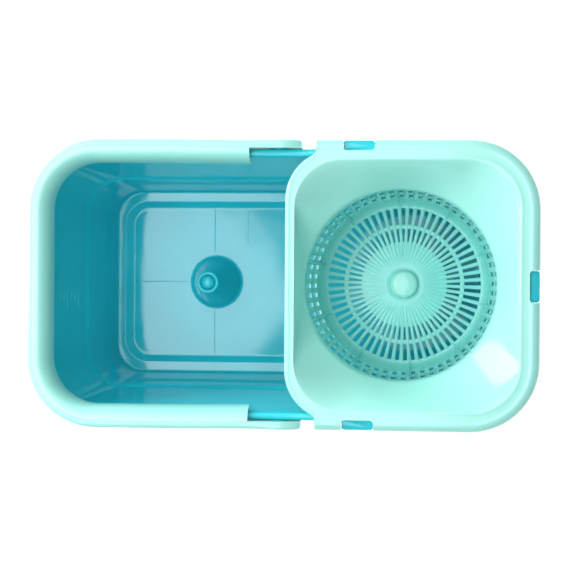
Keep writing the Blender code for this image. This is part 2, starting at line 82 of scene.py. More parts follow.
# ------------------------------------------------------------------ mesh helpers
def link(name, mesh, mat=None):
    obj = bpy.data.objects.new(name, mesh)
    scene.collection.objects.link(obj)
    if mat:
        mesh.materials.clear()
        mesh.materials.append(mat)
    return obj


def shade(obj, angle=32.0):
    obj.data.shade_smooth()
    obj.data.set_sharp_from_angle(angle=math.radians(angle))


def bake(obj):
    """Turn an object's modifiers into its mesh."""
    bpy.context.view_layer.update()
    graph = bpy.context.evaluated_depsgraph_get()
    mesh = bpy.data.meshes.new_from_object(obj.evaluated_get(graph), depsgraph=graph)
    obj.modifiers.clear()
    old = obj.data
    obj.data = mesh
    bpy.data.meshes.remove(old)


def boolean(obj, others, operation="DIFFERENCE", solver="EXACT"):
    for k, other in enumerate(others):
        mod = obj.modifiers.new("b%d" % k, "BOOLEAN")
        mod.operation = operation
        mod.solver = solver
        mod.object = other
    bake(obj)
    for other in others:
        bpy.data.objects.remove(other, do_unlink=True)


def rounded_rows(rings, fractions, segs=4, closed=False):
    """Round the corners of the section: each ring with a fraction above 0 becomes a short curve of rings."""
    P = np.array(rings, float)
    n = len(P)
    out = []
    for i in range(n):
        f = fractions[i]
        if f <= 0 or (not closed and i in (0, n - 1)):
            out.append(P[i])
            continue
        a, b, c = P[(i - 1) % n], P[i], P[(i + 1) % n]
        la = np.linalg.norm(a - b, axis=1, keepdims=True)
        lc = np.linalg.norm(c - b, axis=1, keepdims=True)
        reach = f * np.minimum(la, lc)
        p0 = b + (a - b) / np.maximum(la, 1e-9) * reach
        p2 = b + (c - b) / np.maximum(lc, 1e-9) * reach
        for k in range(segs + 1):
            t = k / segs
            out.append((1 - t) ** 2 * p0 + 2 * t * (1 - t) * b + t ** 2 * p2)
    return out


def loft_mesh(name, rows, caps=(True, True), closed=False):
    """Quads through rows of points (mm), each row a closed ring."""
    bm = bmesh.new()
    verts = [[bm.verts.new(Vector(p) * MM) for p in row] for row in rows]
    count = len(verts[0])
    pairs = list(zip(verts, verts[1:] + (verts[:1] if closed else [])))
    if not closed:
        pairs = list(zip(verts, verts[1:]))
    for a, b in pairs:
        for i in range(count):
            j = (i + 1) % count
            bm.faces.new((a[i], a[j], b[j], b[i]))
    if not closed:
        if caps[0]:
            bm.faces.new(verts[0][::-1])
        if caps[1]:
            bm.faces.new(verts[-1])
    bmesh.ops.remove_doubles(bm, verts=bm.verts, dist=1e-6)
    bmesh.ops.recalc_face_normals(bm, faces=bm.faces)
    mesh = bpy.data.meshes.new(name)
    bm.to_mesh(mesh)
    bm.free()
    return mesh


def outline(hx, hy, r, z, n=20):
    pts = []
    for sx, sy, start in ((1, 1, 0), (-1, 1, 90), (-1, -1, 180), (1, -1, 270)):
        for k in range(n + 1):
            a = math.radians(start + 90 * k / n)
            pts.append((sx * (hx - r) + r * math.cos(a), sy * (hy - r) + r * math.sin(a), z))
    return pts


def curve_section(points, closed=False, segs=5):
    """(r, z, rounding) -> polyline with rounded corners; rounding is the length taken on each side, in mm."""
    out = []
    n = len(points)
    for i, (x, y, f) in enumerate(points):
        if f <= 0 or (not closed and i in (0, n - 1)):
            out.append((x, y))
            continue
        b = Vector((x, y))
        a = Vector(points[(i - 1) % n][:2])
        c = Vector(points[(i + 1) % n][:2])
        fa, fc = min(f, (a - b).length * 0.49), min(f, (c - b).length * 0.49)
        p0, p2 = b + (a - b).normalized() * fa, b + (c - b).normalized() * fc
        for k in range(segs + 1):
            t = k / segs
            q = (1 - t) ** 2 * p0 + 2 * t * (1 - t) * b + t ** 2 * p2
            out.append((q.x, q.y))
    return out


def turned_mesh(name, section, centre=(0, 0, 0), axis="Z", steps=72, closed=True):
    """Lathe a section of (r, h) in mm about an axis through centre; hand it in as a closed loop or an open line."""
    bm = bmesh.new()
    c = Vector(centre)

    def place(r, h, a):
        x, y = r * math.cos(a), r * math.sin(a)
        if axis == "Z":
            v = Vector((x, y, h))
        elif axis == "X":
            v = Vector((h, x, y))
        elif axis == "Y":
            v = Vector((y, h, x))
        else:
            v = Vector((x, -h, y))
        return (c + v) * MM

    rows = []
    for r, h in section:
        if r < 1e-6:
            rows.append([bm.verts.new(place(0, h, 0))])
        else:
            rows.append([bm.verts.new(place(r, h, 2 * math.pi * k / steps)) for k in range(steps)])
    pairs = list(zip(rows, rows[1:]))
    if closed:
        pairs.append((rows[-1], rows[0]))
    for a, b in pairs:
        for k in range(steps):
            m = (k + 1) % steps
            quad = [a[k % len(a)], a[m % len(a)], b[m % len(b)], b[k % len(b)]]
            face = []
            for v in quad:
                if v not in face:
                    face.append(v)
            if len(face) > 2:
                bm.faces.new(face)
    bmesh.ops.recalc_face_normals(bm, faces=bm.faces)
    mesh = bpy.data.meshes.new(name)
    bm.to_mesh(mesh)
    bm.free()
    return mesh


def block(name, low, high, bevel=0.0, segs=3, mat=None):
    """A bevelled block in mm."""
    bm = bmesh.new()
    bmesh.ops.create_cube(bm, size=1.0)
    for v in bm.verts:
        v.co = Vector([(c * (h - l) + (h + l) / 2) * MM for c, l, h in zip(v.co, low, high)])
    if bevel:
        bmesh.ops.bevel(bm, geom=bm.edges[:], offset=bevel * MM, segments=segs, profile=0.5, affect="EDGES")
    mesh = bpy.data.meshes.new(name)
    bm.to_mesh(mesh)
    bm.free()
    return link(name, mesh, mat)


def capsule(name, x0, x1, y0, y1, z0, z1, r, n=8):
    """Upright prism with rounded plan corners, in mm: a cutter or a tab."""
    pts = []
    for cx, cy, start in ((x1 - r, y1 - r, 0), (x0 + r, y1 - r, 90), (x0 + r, y0 + r, 180), (x1 - r, y0 + r, 270)):
        for k in range(n + 1):
            a = math.radians(start + 90 * k / n)
            pts.append((cx + r * math.cos(a), cy + r * math.sin(a)))
    rows = [[(x, y, z) for x, y in pts] for z in (z0, z1)]
    return link(name, loft_mesh(name, rows))


def join(name, objs):
    """Several loose pieces of one moulding as one object."""
    bm = bmesh.new()
    for o in objs:
        bm.from_mesh(o.data)
    mesh = bpy.data.meshes.new(name)
    bm.to_mesh(mesh)
    bm.free()
    mats = [m for m in objs[0].data.materials]
    for o in objs:
        bpy.data.objects.remove(o, do_unlink=True)
    obj = link(name, mesh)
    for m in mats:
        mesh.materials.append(m)
    return obj


# ------------------------------------------------------------------ materials
def new_material(name):
    m = bpy.data.materials.new(name)
    m.use_nodes = True
    nt = m.node_tree
    return m, nt, nt.nodes["Principled BSDF"]


def node(nt, kind, **values):
    n = nt.nodes.new(kind)
    for key, value in values.items():
        if key in n.inputs:
            n.inputs[key].default_value = value
        else:
            setattr(n, key, value)
    return n


def plastic(name, base, vary=0.05, rough=(0.16, 0.26), wave=0.00035, wave_scale=16.0, grain=0.00001, spec=0.5,
            stretch=(1, 1, 1), edge=None, subsurface=0.0):
    """Glossy moulded plastic: faint flow variation in colour, uneven polish, slow waves in the surface and fine grain."""
    m, nt, bsdf = new_material(name)
    L = nt.links
    tc = node(nt, "ShaderNodeTexCoord")
    mp = node(nt, "ShaderNodeMapping")
    mp.inputs["Scale"].default_value = stretch
    L.new(tc.outputs["Object"], mp.inputs["Vector"])
    flow = node(nt, "ShaderNodeTexNoise", **{"Scale": 9.0, "Detail": 4.0, "Roughness": 0.55, "Distortion": 0.6})
    L.new(mp.outputs["Vector"], flow.inputs["Vector"])
    ramp = node(nt, "ShaderNodeValToRGB")
    ramp.color_ramp.elements[0].position, ramp.color_ramp.elements[1].position = 0.32, 0.70
    ramp.color_ramp.elements[0].color = (*[c * (1 - vary) for c in base], 1)
    ramp.color_ramp.elements[1].color = (*[min(1, c * (1 + vary)) for c in base], 1)
    L.new(flow.outputs["Fac"], ramp.inputs["Fac"])
    colour = ramp.outputs["Color"]
    if edge:
        geo = node(nt, "ShaderNodeNewGeometry")
        er = node(nt, "ShaderNodeValToRGB")
        er.color_ramp.elements[0].position, er.color_ramp.elements[1].position = 0.52, 0.60
        er.color_ramp.elements[0].color, er.color_ramp.elements[1].color = (0, 0, 0, 1), (0.5, 0.5, 0.5, 1)
        L.new(geo.outputs["Pointiness"], er.inputs["Fac"])
        mix = node(nt, "ShaderNodeMix", data_type="RGBA")
        L.new(er.outputs["Color"], mix.inputs[0])
        L.new(colour, mix.inputs[6])
        mix.inputs[7].default_value = (*edge, 1)
        colour = mix.outputs[2]
    L.new(colour, bsdf.inputs["Base Color"])
    polish = node(nt, "ShaderNodeTexNoise", **{"Scale": 34.0, "Detail": 6.0, "Roughness": 0.6})
    L.new(tc.outputs["Object"], polish.inputs["Vector"])
    rr = node(nt, "ShaderNodeMapRange", **{"From Min": 0.3, "From Max": 0.75, "To Min": rough[0], "To Max": rough[1]})
    L.new(polish.outputs["Fac"], rr.inputs["Value"])
    L.new(rr.outputs["Result"], bsdf.inputs["Roughness"])
    waves = node(nt, "ShaderNodeTexNoise", **{"Scale": wave_scale, "Detail": 1.5, "Roughness": 0.4, "Distortion": 0.3})
    L.new(mp.outputs["Vector"], waves.inputs["Vector"])
    b1 = node(nt, "ShaderNodeBump", **{"Strength": 1.0, "Distance": wave})
    L.new(waves.outputs["Fac"], b1.inputs["Height"])
    fine = node(nt, "ShaderNodeTexNoise", **{"Scale": 900.0, "Detail": 2.0})
    L.new(tc.outputs["Object"], fine.inputs["Vector"])
    b2 = node(nt, "ShaderNodeBump", **{"Strength": 1.0, "Distance": grain})
    L.new(fine.outputs["Fac"], b2.inputs["Height"])
    L.new(b1.outputs["Normal"], b2.inputs["Normal"])
    L.new(b2.outputs["Normal"], bsdf.inputs["Normal"])
    bsdf.inputs["IOR"].default_value = 1.49
    bsdf.inputs["Specular IOR Level"].default_value = spec
    if subsurface:
        bsdf.inputs["Subsurface Weight"].default_value = subsurface
        bsdf.inputs["Subsurface Radius"].default_value = (0.5, 1.0, 1.0)
        bsdf.inputs["Subsurface Scale"].default_value = 0.003
    return m


def metal(name, base, rough=(0.18, 0.34)):
    m, nt, bsdf = new_material(name)
    L = nt.links
    tc = node(nt, "ShaderNodeTexCoord")
    mp = node(nt, "ShaderNodeMapping")
    mp.inputs["Scale"].default_value = (1, 1, 30)
    L.new(tc.outputs["Object"], mp.inputs["Vector"])
    n1 = node(nt, "ShaderNodeTexNoise", **{"Scale": 120.0, "Detail": 6.0, "Roughness": 0.7})
    L.new(mp.outputs["Vector"], n1.inputs["Vector"])
    ramp = node(nt, "ShaderNodeValToRGB")
    ramp.color_ramp.elements[0].color = (*[c * 0.86 for c in base], 1)
    ramp.color_ramp.elements[1].color = (*[min(1, c * 1.08) for c in base], 1)
    L.new(n1.outputs["Fac"], ramp.inputs["Fac"])
    L.new(ramp.outputs["Color"], bsdf.inputs["Base Color"])
    rr = node(nt, "ShaderNodeMapRange", **{"To Min": rough[0], "To Max": rough[1]})
    L.new(n1.outputs["Fac"], rr.inputs["Value"])
    L.new(rr.outputs["Result"], bsdf.inputs["Roughness"])
    b = node(nt, "ShaderNodeBump", **{"Strength": 1.0, "Distance": 0.00002})
    L.new(n1.outputs["Fac"], b.inputs["Height"])
    L.new(b.outputs["Normal"], bsdf.inputs["Normal"])
    bsdf.inputs["Metallic"].default_value = 1.0
    return m


def rubbery(name, base):
    m, nt, bsdf = new_material(name)
    L = nt.links
    tc = node(nt, "ShaderNodeTexCoord")
    n1 = node(nt, "ShaderNodeTexNoise", **{"Scale": 260.0, "Detail": 5.0, "Roughness": 0.65})
    L.new(tc.outputs["Object"], n1.inputs["Vector"])
    ramp = node(nt, "ShaderNodeValToRGB")
    ramp.color_ramp.elements[0].color = (*[c * 0.75 for c in base], 1)
    ramp.color_ramp.elements[1].color = (*[c * 1.3 for c in base], 1)
    L.new(n1.outputs["Fac"], ramp.inputs["Fac"])
    L.new(ramp.outputs["Color"], bsdf.inputs["Base Color"])
    rr = node(nt, "ShaderNodeMapRange", **{"To Min": 0.62, "To Max": 0.85})
    L.new(n1.outputs["Fac"], rr.inputs["Value"])
    L.new(rr.outputs["Result"], bsdf.inputs["Roughness"])
    b = node(nt, "ShaderNodeBump", **{"Strength": 1.0, "Distance": 0.00006})
    L.new(n1.outputs["Fac"], b.inputs["Height"])
    L.new(b.outputs["Normal"], bsdf.inputs["Normal"])
    return m


TUB_COLOUR = (0.028, 0.62, 0.73)
MINT_COLOUR = (0.38, 0.865, 0.785)
TUB = plastic("tub_plastic", TUB_COLOUR, vary=0.05, rough=(0.045, 0.10), wave=0.0006, wave_scale=13.0)
MINT = plastic("mint_plastic", MINT_COLOUR, vary=0.02, rough=(0.10, 0.17), wave=0.0002, wave_scale=14.0)
# the basket's mint is a darker copy of mint_plastic: painted shade for the basket sitting down inside the tub
MINT_PAINTED_SHADE = plastic("mint_plastic_basket_painted_shade", (0.27, 0.80, 0.75), vary=0.02, rough=(0.08, 0.14), wave=0.0001, wave_scale=20.0)
STEEL = metal("spindle_steel", (0.60, 0.61, 0.62))
NYLON = plastic("nylon", (0.72, 0.72, 0.66), vary=0.03, rough=(0.38, 0.5), wave=0.0001)
RUBBER = rubbery("rubber", (0.05, 0.055, 0.06))

# ------------------------------------------------------------------ tub
tub_rings = [
    (187.0, 81.0, 23, BASE_Z, 0), (193.9, 87.9, 26, 6.5, .4), (203.0, 97.5, 29, 6.5, .45), (205.2, 99.6, 31, 10.0, .4),
    (213.6, 106.7, 38, STEP_Z - 2.5, .35), (216.2, 109.4, 40, STEP_Z + 1.0, .35),
    (227.3, 121.1, 46.5, 232.0, .3), (228.6, 122.3, 47.5, 234.8, .45), (230.2, 123.8, 49.0, 234.8, .45),
    (231.2, 124.7, 49.7, 232.0, .3), (231.2, 124.7, 49.7, 216.0, .12), (RIM_HX, RIM_HY, 52, 216.0, .3),
    (RIM_HX, RIM_HY, 52, RIM_Z - 4.2, .4), (RIM_HX - 1.2, RIM_HY - 1.2, 50.8, RIM_Z - 1.0, .45),
    (RIM_HX - 4.2, RIM_HY - 4.2, 47.8, RIM_Z, .45), (RIM_HX - 7.1, RIM_HY - 7.1, 44.9, RIM_Z - 1.0, .45),
    (225.2, 119.0, 44, RIM_Z - 4.4, .4),
    (213.7, 106.9, 37.5, STEP_Z + 2.0, .5), (211.1, 104.2, 35.5, STEP_Z - 1.2, .5),
    (203.6, 97.8, 29.2, 14.0, .25), (202.2, 96.7, 28.2, LEDGE_Z + 0.8, .45), (200.9, 95.6, 27.5, LEDGE_Z, .45),
    (193.6, 86.4, 24.0, LEDGE_Z, .3), (192.0, 85.0, 22.8, LEDGE_Z - 1.0, .4), (186.9, 80.7, 20.4, FLOOR_Z + 0.5, .4),
    (185.3, 79.4, 19.6, FLOOR_Z, .3), (183.0, 77.2, 19.0, FLOOR_Z, 0),
]
rows = rounded_rows([outline(*r[:4]) for r in tub_rings], [r[4] for r in tub_rings], segs=4)
tub = link("tub_shell", loft_mesh("tub_shell", rows), TUB)
boolean(tub, [link("c%d" % k, turned_mesh("c", s, c, "Z", 40)) for k, (s, c) in enumerate((
    ([(0, -5), (23.0, -5), (22.6, 4), (22.0, 6), (0, 6)], (POST_X, 0, 0)),
    ([(0, -5), (23.0, -5), (22.6, 4), (22.0, 6), (0, 6)], (AX, 0, 0))))] + [
    link("drain_cut", turned_mesh("c", [(0, 190), (8.8, 190), (8.8, 220), (0, 220)], (0, 0, 26), "X", 40))])
shade(tub)

extras = []
# wash post: a cone with a rolled ring at its tip, hollow from below
post = curve_section([
    (23.4, 1.6, 0), (8.2, 55.0, 0), (0, 55.0, 0), (0, 58.5, 0), (3.2, 58.5, 0), (3.2, 66.0, 0), (6.9, 66.0, .8), (8.1, 68.6, 1.2),
    (9.2, 69.6, 1.0), (10.8, 69.4, 1.2), (11.7, 67.6, 1.5), (12.6, 63.5, 1.5), (25.2, 8.2, 3.0), (26.3, 5.0, 1.5),
    (28.6, 4.25, 0.8), (29.2, 3.4, 0), (23.6, 3.4, 0)], closed=False)
extras.append(link("p", turned_mesh("p", post, (POST_X, 0, 0), steps=96), TUB))
# basket column
column = curve_section([
    (23.4, 1.6, 0), (12.0, 46.0, 0), (0, 46.0, 0), (0, 50.2, 0), (4.3, 50.2, 0), (4.3, 80.0, .5), (11.0, 80.0, 1.0), (25.0, 10.0, 6.0),
    (27.6, 5.2, 2.0), (31.5, 4.35, 1.2), (32.4, 3.4, 0), (23.6, 3.4, 0)], closed=False)
extras.append(link("p", turned_mesh("p", column, (AX, 0, 0), steps=72), TUB))
for k in range(6):      # gussets round the column
    a = math.radians(60 * k + 30)
    g = block("g", (10.0, -1.0, 3.5), (31.0, 1.0, 26.0), 0.5, 2, TUB)
    for v in g.data.vertices:
        if v.co.x > 0.02 and v.co.z > 0.012:
            v.co.x = 0.0205
    g.data.transform(Matrix.Translation((AX * MM, 0, 0)) @ Matrix.Rotation(a, 4, "Z"))
    extras.append(g)
# trunnions
for axis in ("Y", "-Y"):
    s = curve_section([(3.2, 122.3, 0), (3.2, 132.7, .3), (6.0, 132.7, .8), (6.0, 129.2, .5), (8.6, 129.2, 0.8),
                       (8.6, 119.9, 0), (0, 119.9, 0), (0, 122.3, 0)])
    extras.append(link("p", turned_mesh("p", s, (PIVOT_X, 0, PIVOT_Z), axis, 48), TUB))
# drain boss
extras.append(link("p", turned_mesh("p", curve_section([(8.8, 205.3, 0), (8.8, 209, .3), (13, 209, .8), (13, 205.3, 0)]),
                                    (0, 0, 26), "X", 56), TUB))
# outside: flow ribs under the rolled lip that stiffen it
for sy in (1, -1):
    for x in (-190, -150, -110, -70, -32, 32, 70, 110, 150, 190):
        extras.append(block("r", (x - 0.9, min(sy * 119.9, sy * 125.2), 219.0), (x + 0.9, max(sy * 119.9, sy * 125.2), 234.0), 0.3, 1, TUB))
for sx in (1, -1):
    for y in (-60, -20, 20, 60):
        extras.append(block("r", (min(sx * 226.2, sx * 231.8), y - 0.9, 219.0), (max(sx * 226.2, sx * 231.8), y + 0.9, 234.0), 0.3, 1, TUB))
detail = join("tub_details", extras)
shade(detail, 40)

# guard tabs: rounded blocks with a chamfered outer edge
tabs = []
for sy in (1, -1):
    lo, hi = sorted((sy * 124.6, sy * 134.4))
    t = capsule("t", 58.7, 87.5, lo, hi, 228.5, 246.0, 2.6)
    for v in t.data.vertices:
        if v.co.z > 0.24 and abs(v.co.y) > 0.1316:
            v.co.z = 0.2425
    t.data.materials.append(TUB)
    tabs.append(t)
t = capsule("t", 230.8, 239.9, -14.4, 14.4, 228.5, 246.0, 2.6)
for v in t.data.vertices:
    if v.co.z > 0.24 and v.co.x > 0.2371:
        v.co.z = 0.2425
t.data.materials.append(TUB)
tabs.append(t)
tabs = join("guard_tabs", tabs)
bev = tabs.modifiers.new("bevel", "BEVEL")
bev.width, bev.segments, bev.limit_method, bev.angle_limit = 0.0008, 3, "ANGLE", math.radians(40)
bake(tabs)
shade(tabs, 40)

# raised lines on the floor and plain level ticks on the end wall
marks = []


def bar(x0, x1, y0, y1, z0, z1, b=0.3):
    return block("m", (x0, y0, z0), (x1, y1, z1), b, 2, TUB)


marks.append(bar(-97.4, -96.6, 32.0, 77.5, 3.6, 4.45))
marks.append(bar(-97.4, -96.6, -77.5, -32.0, 3.6, 4.45))
marks.append(bar(-184.0, -127.5, -0.4, 0.4, 3.6, 4.45))
marks.append(bar(-61.6, -60.9, 40.0, 77.5, 3.6, 4.35))
for k in range(7):      # level ticks, lying on the sloping end wall
    z = 138.0 + 11.0 * k
    x = -(213.7 + (225.2 - 213.7) * (z - 114.0) / (235.6 - 114.0))
    w = 17.0 if k % 3 == 0 else 9.0
    marks.append(bar(x - 0.8, x + 0.55, -10.0 - w, -10.0, z - 0.55, z + 0.55, 0.3))
marks = join("tub_marks", marks)
shade(marks, 40)
for o in (tub, detail, tabs, marks):
    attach(o, "bucket")
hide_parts("tub")

# ------------------------------------------------------------------ handle
W, T, SK, LZ = 21.9, 2.2, 222.0, 226.0
crown = [(8.2, H, 2.5), (12.2, 249.5, 2.2), (16.0, 246.9, 2.5), (19.2, 242.0, 3.0), (21.1, 236.4, 3.0), (W, 230.0, 2.5),
         (W, LZ, 0.9), (W - T, LZ, 0.9), (W - T, 230.4, 2.5), (18.9, 235.8, 3.0), (17.2, 241.0, 2.5), (14.6, 244.8, 2.2),
         (11.2, 247.1, 2.2), (7.8, H - T, 1.5)]
section = curve_section([(0.0, SK, 0.8), (0.0, 243.8, 3.0), (0.8, 247.7, 2.2), (3.4, 249.8, 2.2)] + crown
                        + [(4.4, 247.4, 1.2), (2.7, 246.0, 1.2), (T, 243.4, 1.5), (T, SK, 0.8)], closed=True, segs=5)
end_section = curve_section([(0.1, SK, 0.8), (0.1, 246.6, 1.6), (0.6, 248.8, 0.9), (2.4, 249.85, 1.0)] + crown
                            + [(3.9, 247.6, 0.8), (2.7, 246.6, 0.7), (T, 245.4, 1.0), (T, SK, 0.8)], closed=True, segs=5)


def handle_rows():
    rows = []
    big = 66.0
    cx, cy = -HL + big, HW + BOW - big
    near = [(PIVOT_X, 0.0, 1.0), (PIVOT_X - 11, 0.0, 0.8), (PIVOT_X - 22, 0.02, 0.3), (-36.0, 0.06, 0.0), (-54.0, 0.26, 0.0),
            (-72.0, 0.54, 0.0), (-90.0, 0.78, 0.0), (-110.0, 0.93, 0.0), (-135.0, 1.0, 0.0)]
    stops = [((x, cy - BOW * (1 - share)), 90.0, t) for x, share, t in near]
    stops += [((cx, cy), 90.0 + 90.0 * k / 24, 0.0) for k in range(25)]
    stops += [((cx, -cy), 180.0 + 90.0 * k / 24, 0.0) for k in range(25)]
    stops += [((x, -y), 270.0, t) for (x, y), a, t in stops[len(near) - 1::-1]]
    for (x, y), degrees, t in stops:
        a = math.radians(degrees)
        mixed = [(p[0] + (q[0] - p[0]) * t, p[1] + (q[1] - p[1]) * t) for p, q in zip(section, end_section)]
        rows.append([(x + (big - s) * math.cos(a), y + (big - s) * math.sin(a), z) for s, z in mixed])
    return rows


def arm_end_outline(inset, y):
    """Outline of an arm's end about the pivot, in the XZ plane: a falling, square-shouldered top, round below."""
    r = 21.95 - inset
    shoulder = [(1.0, 0.0), (1.0, 0.30), (1.0, 0.58), (0.998, 0.62), (0.99, 0.66), (0.975, 0.69), (0.955, 0.715)]
    shoulder += [(u / 20.0, 1.0 - 0.297 * (u / 20.0) ** 2) for u in range(18, 0, -1)]
    pts = [(PIVOT_X + r * a, y, PIVOT_Z + r * b) for a, b in shoulder]
    for k in range(90):
        a = math.radians(90.0 + 3.0 * k)
        pts.append((PIVOT_X + r * math.cos(a), y, PIVOT_Z + r * math.sin(a)))
    return pts


handle = link("carry_handle_shell", loft_mesh("carry_handle_shell", handle_rows()), MINT)
relief = capsule("relief", -29.0, 40.0, -127.9, 127.9, 200, 270, 1.2, 4)
boolean(handle, [relief], solver="MANIFOLD")
cups = []
for sy in (1, -1):
    ends = [arm_end_outline(i, sy * y) for i, y in ((0.0, 127.3), (0.0, 132.4), (0.15, 133.4), (0.55, 134.2), (1.1, 134.65), (1.8, 134.9))]
    cups.append(link("arm_end", loft_mesh("arm_end", ends)))
    # the arm's inner wall beside the rim, over the trunnion, and the web that closes the channel at the step
    wall = [(-30.4, 222.5), (PIVOT_X - 11.0, 222.5), (PIVOT_X - 11.0, PIVOT_Z + 10.2), (PIVOT_X + 2.5, PIVOT_Z + 10.2),
            (PIVOT_X + 2.5, 249.4), (-30.4, 249.4)]
    cups.append(link("arm_wall", loft_mesh("arm_wall", [[(x, sy * y, z) for x, z in wall] for y in (127.3, 129.4)])))
    lo, hi = sorted((sy * 119.9, sy * 128.8))
    cups.append(block("arm_web", (-31.2, lo, RIM_Z + 0.4), (-29.2, hi, 246.4)))
boolean(handle, cups, "UNION", "MANIFOLD")
holes = []
for axis in ("Y", "-Y"):
    holes.append(link("hole", turned_mesh("hole", [(0, 120), (9.4, 120), (9.4, 129.5), (6.3, 129.5), (6.3, 132.6), (9.8, 132.6),
                                                      (10.3, 140), (0, 140)],
                                          (PIVOT_X, 0, PIVOT_Z), axis, 64)))
boolean(handle, holes, "DIFFERENCE", "MANIFOLD")
shade(handle, 28)
ribs = []
for sy in (1, -1):
    for x in (-70.0, -100.0, -130.0, -160.0):
        ribs.append(block("r", (x - 1.0, min(sy * 121.4, sy * 134.0), RIM_Z + 0.4), (x + 1.0, max(sy * 121.4, sy * 134.0), 245.4), 0.2, 1, MINT))
for y in (-45.0, -15.0, 15.0, 45.0):
    ribs.append(block("r", (-238.8, y - 1.0, RIM_Z + 0.4), (-226.0, y + 1.0, 245.4), 0.2, 1, MINT))
ribs = join("handle_ribs", ribs)
for o in (handle, ribs):
    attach(o, "carry_handle")
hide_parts("handle")

caps = []
for axis, tag in (("Y", "back"), ("-Y", "front")):
    s = curve_section([(0, 122.6, 0), (2.9, 122.6, .5), (2.9, 133.0, .1), (9.3, 133.0, .2), (9.3, 134.3, .5), (8.2, 134.85, .8),
                       (4.2, 134.85, .5), (3.4, 134.3, .5), (0, 134.3, 0)], segs=4)
    c = link("pivot_cap_" + tag, turned_mesh("c", s, (PIVOT_X, 0, PIVOT_Z), axis, 64), MINT)
    shade(c, 40)
    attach(c, "bucket")
    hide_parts("handle_pivot_cap_" + tag)


# ------------------------------------------------------------------ splash guard
N = 18


def mirror_ring(quarter):
    return quarter + [(x, -y, z) for x, y, z in reversed(quarter)]


MIDS = 14                # extra points along the straight sides


def guard_ring(right, front, right_r, z, left, left_front, left_r, left_z, mid_y, mid_z, ear_x=EAR_X):
    q = []
    for k in range(N + 1):
        a = math.radians(90.0 * k / N)
        q.append((right - right_r + right_r * math.cos(a), front - right_r + right_r * math.sin(a), z))
    for k in range(1, MIDS):
        q.append((right - right_r + (ear_x - right + right_r) * k / MIDS, front, z))
    cx, cy = left + left_r, left_front - left_r
    start = math.acos((ear_x - 5.6 - cx) / left_r)
    arc = (ear_x - 5.6, cy + left_r * math.sin(start))
    bend, top = (ear_x - 1.2, arc[1] + 2.0), (ear_x - 0.9, arc[1] + 6.4)
    q.append((ear_x, front, z))
    q.append((ear_x - 0.5, max(mid_y + 1.0, top[1] + 0.8), mid_z))
    for k in range(6):                           # hollow corner between the ear and the left-hand arc
        t = k / 6
        q.append(tuple(c * (1 - t) ** 2 + b * 2 * t * (1 - t) + a * t * t for a, b, c in zip(arc, bend, top))
                 + (mid_z + (left_z - mid_z) * t,))
    for k in range(N + 1):
        a = start + (math.pi - start) * k / N
        q.append((cx + left_r * math.cos(a), cy + left_r * math.sin(a), left_z))
    return mirror_ring(q)


def crest_ring(x0, x1, hy, r, z):
    q = []
    for k in range(N + 1):
        a = math.radians(90.0 * k / N)
        q.append((x1 - r + r * math.cos(a), hy - r + r * math.sin(a), z))
    for k in range(1, MIDS):
        q.append((x1 - r + (72.0 - x1 + r) * k / MIDS, hy, z))
    q += [(72.0, hy, z), (64.0, hy, z)]
    for degrees in [91.0 + 22.0 * k / 6 for k in range(6)] + [113.0 + 67.0 * k / N for k in range(N + 1)]:
        a = math.radians(degrees)
        q.append((x0 + r + r * math.cos(a), hy - r + r * math.sin(a), z))
    return mirror_ring(q)


def circle_ring(r, z):
    angles = ([3 + 57.0 * k / N for k in range(N + 1)] + [60.0 + 48.0 * k / MIDS for k in range(1, MIDS + 1)] + [111.0]
              + [113.0 + 9.0 * k / 6 for k in range(6)] + [122.5 + 54.5 * k / N for k in range(N + 1)])
    q = [(AX + r * math.cos(math.radians(a)), r * math.sin(math.radians(a)), z) for a in angles]
    return mirror_ring(q)


def between(a, b, t, z):
    return [(p[0] + (q[0] - p[0]) * t, p[1] + (q[1] - p[1]) * t, z) for p, q in zip(a, b)]


crest = crest_ring(13.6, 222.7, 117.0, 45.0, 249.8)
under = crest_ring(13.0, 223.3, 117.6, 45.6, 247.2)
lip, collar = circle_ring(LIP_R, LIP_Z), circle_ring(LIP_R + 2, LIP_Z - 0.8)
g = 2.0
GC = 64.5
rings = [
    (guard_ring(HL, HW, GC, SK, 4.7, 126.0, 46.5, 241.6, 128.8, 241.2), .3),
    (guard_ring(HL, HW, GC, 243.4, 4.7, 126.0, 46.5, 245.4, 128.0, 245.0), .45),
    (guard_ring(HL - 1.4, 133.6, GC - 1.4, 247.4, 5.3, 125.4, 45.9, 248.0, 127.4, 247.6), .45),
    (guard_ring(HL - 4.6, 130.4, GC - 4.6, 249.4, 6.4, 124.3, 44.8, 249.5, 126.6, 249.4), .45),
    (guard_ring(HL - 7.4, 127.6, GC - 7.4, 249.95, 8.0, 122.7, 43.2, 249.95, 125.6, 249.95), .45),
    (guard_ring(HL - 9.8, 125.2, GC - 9.8, 249.5, 9.8, 121.0, 41.4, 249.6, 123.6, 249.5), .45),
    (crest_ring(12.4, 225.2, 119.2, 46.2, 249.45), .45),
    (crest, .45),
]
for t, z in ((.045, 249.1), (.14, 246.7), (.30, 241.4), (.50, 233.7), (.70, 225.6), (.88, 217.9), (.97, 213.9)):
    rings.append((between(crest, lip, t, z), .45))
rings += [
    (circle_ring(LIP_R - 0.1, COLLAR_Z + 4), .45), (circle_ring(LIP_R - 0.2, COLLAR_Z), .4),
    (circle_ring(LIP_R + 1.8, COLLAR_Z), .4), (collar, .4),
]
for t, z in ((.88, 216.2), (.50, 232.0), (.14, 244.8)):
    rings.append((between(under, collar, t, z), .4))
